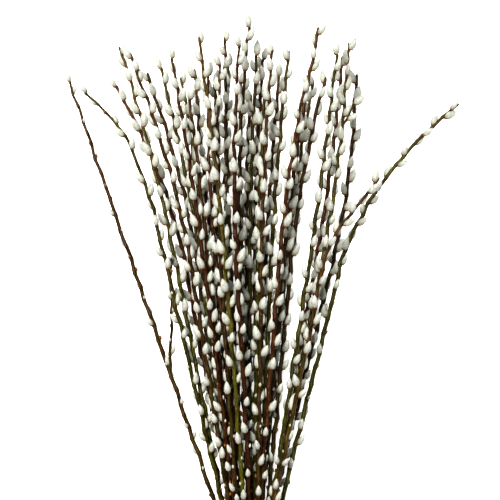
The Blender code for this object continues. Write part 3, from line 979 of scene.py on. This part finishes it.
def twine_course():
    """The twine's middle as it winds round the bundle, with its ends tucked in between the stems."""
    outline = tie_outline(STEM_RADIUS + TIE_GAP + TWINE_RADIUS)
    outline = np.roll(outline, -len(outline) // 4, axis=0)
    winding = np.concatenate([outline] * TWINE_TURNS + [outline[:1]])
    reach = TIE_WIDTH / 2 - TWINE_RADIUS
    winding[:, 1] = np.linspace(-reach, reach, len(winding))
    steps = np.linalg.norm(np.diff(winding, axis=0), axis=1)
    lengths = np.concatenate([[0], np.cumsum(steps)])
    fine = np.arange(0, lengths[-1], STRAND_STEP)
    course = np.column_stack([np.interp(fine, lengths, winding[:, axis]) for axis in range(3)])
    inward = np.array((0, 0, BUNDLE_HEIGHT)) - course
    inward[:, 1] = 0
    inward /= np.linalg.norm(inward, axis=1)[:, None]
    from_end = np.minimum(fine, fine[-1] - fine)
    tucked = np.clip(1 - from_end / TUCK_LENGTH, 0, 1) ** 2 * TUCK_DEPTH
    return course + inward * tucked[:, None], -inward, fine


def make_twine(material):
    """Two strands laid round each other along the twine's course."""
    course, outward, lengths = twine_course()
    heading = np.gradient(course, axis=0)
    heading /= np.linalg.norm(heading, axis=1)[:, None]
    beside = np.cross(heading, outward)
    bm = bmesh.new()
    for start in (0, math.pi):
        turn = (lengths / STRAND_PITCH * math.tau + start)[:, None]
        points = course + STRAND_OFFSET * (np.cos(turn) * outward + np.sin(turn) * beside)
        add_tube(bm, round_tube(points, np.full(len(points), STRAND_RADIUS), STRAND_SIDES))
    finish_piece("tie_twine", bm, [material], ["tie"])


# The finishes

class Finish:
    """A material under construction, with short ways to add its pattern nodes."""

    def __init__(self, name):
        self.material = bpy.data.materials.new(name)
        self.material.use_nodes = True
        self.tree = self.material.node_tree
        self.shader = self.tree.nodes["Principled BSDF"]
        self.place = self.node("ShaderNodeTexCoord").outputs["Object"]

    def value(self, name, amount):
        """Sets one of the shader's values that stays the same all over."""
        self.shader.inputs[name].default_value = amount

    def node(self, kind, **values):
        """A new node with some of its settings."""
        node = self.tree.nodes.new(kind)
        for name, value in values.items():
            setattr(node, name, value)
        return node

    def link(self, source, target):
        """Joins one socket to another."""
        self.tree.links.new(source, target)

    def stretched(self, stretch):
        """Object coordinates scaled along each axis."""
        mapping = self.node("ShaderNodeMapping")
        mapping.inputs["Scale"].default_value = stretch
        self.link(self.place, mapping.inputs["Vector"])
        return mapping.outputs["Vector"]

    def noise(self, pattern):
        """A pattern's noise as it is, before its span."""
        noise = self.node("ShaderNodeTexNoise")
        noise.inputs["Scale"].default_value = pattern.scale
        noise.inputs["Detail"].default_value = pattern.detail
        self.link(self.stretched(pattern.stretch), noise.inputs["Vector"])
        return noise.outputs["Fac"]

    def share(self, pattern):
        """The share that a pattern's noise gives."""
        return self.ranged(self.noise(pattern), pattern.span, pattern.share)

    def lenticels(self):
        """Small round spots, 1 inside and 0 outside."""
        cells = self.node("ShaderNodeTexVoronoi")
        cells.inputs["Scale"].default_value = LENTICEL_SCALE
        self.link(self.stretched(LENTICEL_STRETCH), cells.inputs["Vector"])
        return self.ranged(cells.outputs["Distance"], (LENTICEL_SIZE, LENTICEL_SIZE * LENTICEL_EDGE), (0, 1))

    def attribute(self, name):
        """A value that the vertices carry."""
        return self.node("ShaderNodeAttribute", attribute_name=name).outputs["Fac"]

    def ranged(self, source, old, new):
        """A value carried from one range to another, and held inside it."""
        change = self.node("ShaderNodeMapRange")
        for name, value in zip(("From Min", "From Max", "To Min", "To Max"), (*old, *new)):
            change.inputs[name].default_value = value
        self.link(source, change.inputs["Value"])
        return change.outputs["Result"]

    def product(self, one, other):
        """Two values multiplied."""
        times = self.node("ShaderNodeMath", operation="MULTIPLY")
        self.link(one, times.inputs[0])
        self.link(other, times.inputs[1])
        return times.outputs["Value"]

    def mixed(self, share, one, other):
        """One colour mixed with another by a share. A colour is a tuple or a socket."""
        mix = self.node("ShaderNodeMix", data_type="RGBA")
        self.link(share, mix.inputs["Factor"])
        for socket, colour in ((mix.inputs[6], one), (mix.inputs[7], other)):
            if isinstance(colour, tuple):
                socket.default_value = (*colour, 1)
            else:
                self.link(colour, socket)
        return mix.outputs[2]

    def bump(self, relief):
        """Roughens the surface with a relief."""
        bump = self.node("ShaderNodeBump")
        bump.inputs["Strength"].default_value = relief.strength
        bump.inputs["Distance"].default_value = relief.height
        self.link(self.noise(relief.pattern), bump.inputs["Height"])
        self.link(bump.outputs["Normal"], self.shader.inputs["Normal"])

    def colour(self, source):
        """Gives the surface its colour."""
        self.link(source, self.shader.inputs["Base Color"])


def bark_finish(name):
    """Thin willow bark: streaked and freckled, greener and darker towards the tie, the darkening painted
    shade, and browner to the tips.
    """
    dark, light = BARKS[name]
    finish = Finish(name)
    finish.value("Specular IOR Level", BARK_SPECULAR)
    streaks = finish.share(BARK_STREAKS)
    patches = finish.share(BARK_PATCHES)
    colour = finish.mixed(finish.share(BARK_BLOTCHES), finish.mixed(streaks, dark, light), dark)
    place = finish.node("ShaderNodeSeparateXYZ")
    finish.link(finish.place, place.inputs["Vector"])
    # Greener towards the tie, and darker there as painted shade
    low = finish.ranged(place.outputs["Y"], LOW_BARK_GREEN_AND_SHADE_SPAN, (0, 1))
    colour = finish.mixed(finish.product(low, patches), colour, LOW_BARK_GREEN_AND_SHADE[name])
    high = finish.ranged(place.outputs["Y"], HIGH_BARK_SPAN, HIGH_BARK_SHARE)
    colour = finish.mixed(finish.product(high, patches), colour, HIGH_BARK)
    colour = finish.mixed(finish.ranged(finish.attribute("tint"), (0, 1), BRANCH_SHADE), colour, dark)
    freckles = finish.product(finish.lenticels(), finish.ranged(patches, (0, 1), LENTICEL_SHARE))
    finish.colour(finish.mixed(freckles, colour, LENTICEL_COLOUR))
    finish.link(finish.ranged(streaks, (0, 1), BARK_ROUGHNESS), finish.shader.inputs["Roughness"])
    finish.bump(BARK_RELIEF)
    return finish.material


def scale_finish():
    """The brown skin of buds and bud scales."""
    finish = Finish("bud_scale")
    finish.value("Roughness", SCALE_ROUGHNESS)
    colour = finish.mixed(finish.attribute("tint"), *SCALE_COLOURS)
    finish.colour(finish.mixed(finish.share(SCALE_BLOTCHES), colour, SCALE_COLOURS[0]))
    finish.bump(SCALE_RELIEF)
    return finish.material


def catkin_finish():
    """Silky down: dull and greenish at the base, silvery over the body and palest at its tips, the darker
    base partly painted shade and the pale tips partly painted light.
    """
    finish = Finish("catkin_down")
    finish.value("Roughness", DOWN_ROUGHNESS)
    finish.value("Sheen Weight", DOWN_SHEEN)
    finish.value("Sheen Roughness", DOWN_SHEEN_ROUGHNESS)
    along = finish.attribute("along")
    base, middle, tip = CATKIN_COLOURS
    # Darker base to paler tips: partly the down's own colour, partly painted shade and light
    colour = finish.mixed(finish.ranged(along, DOWN_FROM_BASE, (0, 1)), base, middle)
    colour = finish.mixed(finish.ranged(along, DOWN_TO_TIP, (0, 1)), colour, tip)
    shade = finish.ranged(finish.attribute("tint"), (0, 1), CATKIN_SHADE)
    colour = finish.mixed(shade, colour, CATKIN_SHADES[0])
    colour = finish.mixed(finish.share(DOWN_STRANDS), colour, CATKIN_SHADES[1])
    # Grey patches: dark bract tips, and painted shade between the locks of down
    finish.colour(finish.mixed(finish.share(DOWN_BRACTS_AND_SHADE), colour, CATKIN_SHADES[1]))
    finish.bump(DOWN_RELIEF)
    return finish.material


def wood_finish():
    """Fresh cut willow wood."""
    finish = Finish("cut_wood")
    finish.value("Roughness", WOOD_ROUGHNESS)
    finish.colour(finish.mixed(finish.share(WOOD_GRAIN), *WOOD_COLOURS))
    finish.bump(WOOD_RELIEF)
    return finish.material


def pith_finish():
    """The soft pith in the middle of a cut stem."""
    finish = Finish("pith")
    finish.value("Roughness", PITH_ROUGHNESS)
    finish.colour(finish.mixed(finish.share(PITH_SPECKS), WOOD_COLOURS[0], PITH_COLOUR))
    return finish.material


def twine_finish():
    """Natural twine: dull tan fibres with darker ones between."""
    finish = Finish("tie_twine")
    finish.value("Roughness", TWINE_ROUGHNESS)
    finish.value("Sheen Weight", TWINE_SHEEN)
    finish.colour(finish.mixed(finish.share(TWINE_FIBRES), *TWINE_COLOURS))
    finish.bump(TWINE_RELIEF)
    return finish.material


# The studio

def make_floor():
    """A pale floor that glows a little, so that the bunch throws next to no shadow, as in the photograph."""
    bm = bmesh.new()
    place = Matrix.Translation((*LIT_POINT[:2], -FLOOR_GAP))
    bmesh.ops.create_grid(bm, x_segments=1, y_segments=1, size=FLOOR_REACH, matrix=place)
    floor = bpy.data.objects.new("floor", mesh_from(bm, "floor"))
    bpy.context.scene.collection.objects.link(floor)
    finish = Finish("floor")
    finish.value("Roughness", FLOOR_ROUGHNESS)
    finish.value("Base Color", (*FLOOR_COLOUR, 1))
    finish.value("Specular IOR Level", FLOOR_SPECULAR)
    finish.value("Emission Color", WHITE)
    finish.value("Emission Strength", FLOOR_GLOW)
    floor.data.materials.append(finish.material)


def make_light(name, place, size, power):
    """A soft square lamp that faces the bunch."""
    lamp = bpy.data.lights.new(name, "AREA")
    lamp.size = size
    lamp.energy = power
    thing = bpy.data.objects.new(name, lamp)
    thing.location = place
    thing.rotation_euler = (Vector(place) - Vector(LIT_POINT)).to_track_quat("Z", "Y").to_euler()
    bpy.context.scene.collection.objects.link(thing)


def make_world():
    """A faint even light from all round."""
    world = bpy.data.worlds.new("studio")
    world.use_nodes = True
    background = world.node_tree.nodes["Background"]
    background.inputs["Color"].default_value = WHITE
    background.inputs["Strength"].default_value = WORLD_STRENGTH
    bpy.context.scene.world = world


def make_camera():
    """The camera straight above, framed so that the photograph's width falls where most of the bunch is."""
    camera = bpy.data.cameras.new("camera")
    camera.sensor_width = SENSOR_WIDTH
    camera.lens = SENSOR_WIDTH * (CAMERA_HEIGHT - SEEN_HEIGHT) / FRAME_WIDTH
    thing = bpy.data.objects.new("camera", camera)
    thing.location = (0, FRAME_MIDDLE, CAMERA_HEIGHT)
    bpy.context.scene.collection.objects.link(thing)
    bpy.context.scene.camera = thing


def make_bunch():
    """All the branches, each as its bark and its catkins."""
    barks = {name: bark_finish(name) for name in BARKS}
    others = [wood_finish(), pith_finish(), scale_finish()]
    down = catkin_finish()
    kinds = [catkin_mesh(SEED + number) for number in range(CATKIN_KINDS)]
    nub = nub_mesh()
    shapes = {"scales": [scale_mesh(tint) for tint in SCALE_TINTS], "scar": scar_mesh(),
              "buds": [bud_mesh(tint) for tint in SCALE_TINTS]}
    stems = main_stems()
    parts = [[] for _ in stems]
    draw = random.Random(SEED + 3)
    for branch, stem, sites, buds in catkin_sites(stems, shoots_of(stems)):
        fine = smoothed(stem, sites, buds, draw)
        sites = [site._replace(stem=fine) for site in sites]
        buds = [bud._replace(stem=fine) for bud in buds]
        parts[branch].append((fine, sites, buds))
    for n, own in enumerate(parts):
        number = f"{n + 1:02d}"
        slot = BARK_TURNS[n % len(BARK_TURNS)]
        make_bark("bark_" + number, "branch_" + number, own, shapes, [barks[slot], *others])
        make_catkins("catkins_" + number, "branch_" + number, own, kinds, nub, down)


def main():
    """Builds the studio, the bunch and its tie."""
    make_camera()
    make_floor()
    make_world()
    make_light("key", KEY_PLACE, KEY_SIZE, KEY_POWER)
    make_light("fill", FILL_PLACE, FILL_SIZE, FILL_POWER)
    bpy.context.scene.view_settings.view_transform = "Standard"
    bpy.context.scene.view_settings.look = "Very High Contrast"
    make_bunch()
    make_twine(twine_finish())


main()
